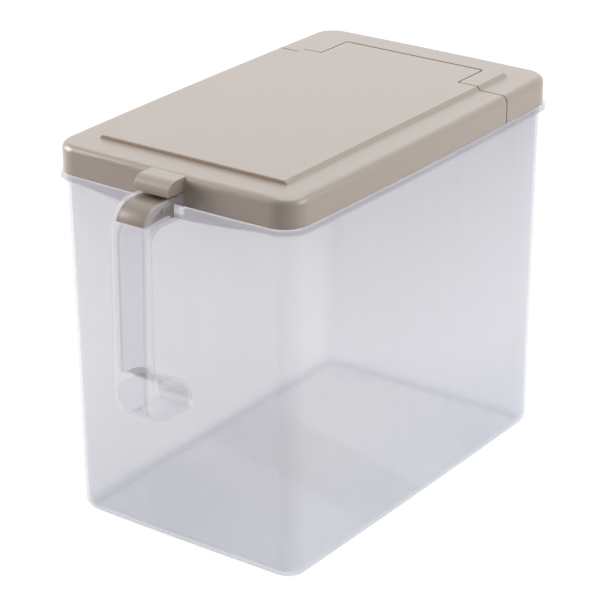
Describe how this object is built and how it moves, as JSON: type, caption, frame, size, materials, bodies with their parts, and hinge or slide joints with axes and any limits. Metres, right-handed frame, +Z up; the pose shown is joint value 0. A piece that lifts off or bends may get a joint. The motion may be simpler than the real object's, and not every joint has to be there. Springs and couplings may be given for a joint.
{
  "type": "storage container",
  "caption": "Tall translucent storage container with a loop handle, a hinged flap lid with a raised panel, and a thumb lever in the handle.",
  "frame": {"origin": "middle of the container's flat bottom", "axes": "+Z up; -Y towards the handle at the front, +Y to the hinge at the rear; +X to the right along the front"},
  "size_m": [0.1936, 0.3447, 0.2626],
  "materials": {
    "translucent_body": "translucent natural polypropylene, satin",
    "greige_lid": "opaque warm grey-beige plastic, satin sheen",
    "greige_lever": "opaque warm grey-beige plastic, satin sheen"
  },
  "bodies": {
    "bin": {"container": "translucent_body"},
    "lid": {"rear_cover": "greige_lid"},
    "flap": {"front_flap": "greige_lid"},
    "lever": {"thumb_lever": "greige_lever"}
  },
  "joints": [
    {"name": "lid_lift", "type": "slide", "parent": "bin", "child": "lid", "axis": [0, 0, 1], "range_m": [0, 0.04]},
    {"name": "flap_hinge", "type": "hinge", "parent": "lid", "child": "flap", "pos_m": [0, 0.104, 0.256], "axis": [-1, 0, 0], "range_deg": [0, 125]},
    {"name": "lever_hinge", "type": "hinge", "parent": "bin", "child": "lever", "pos_m": [0, -0.168, 0.243], "axis": [1, 0, 0], "range_deg": [0, 10], "stiffness_Nm_per_rad": 0.02}
  ]
}
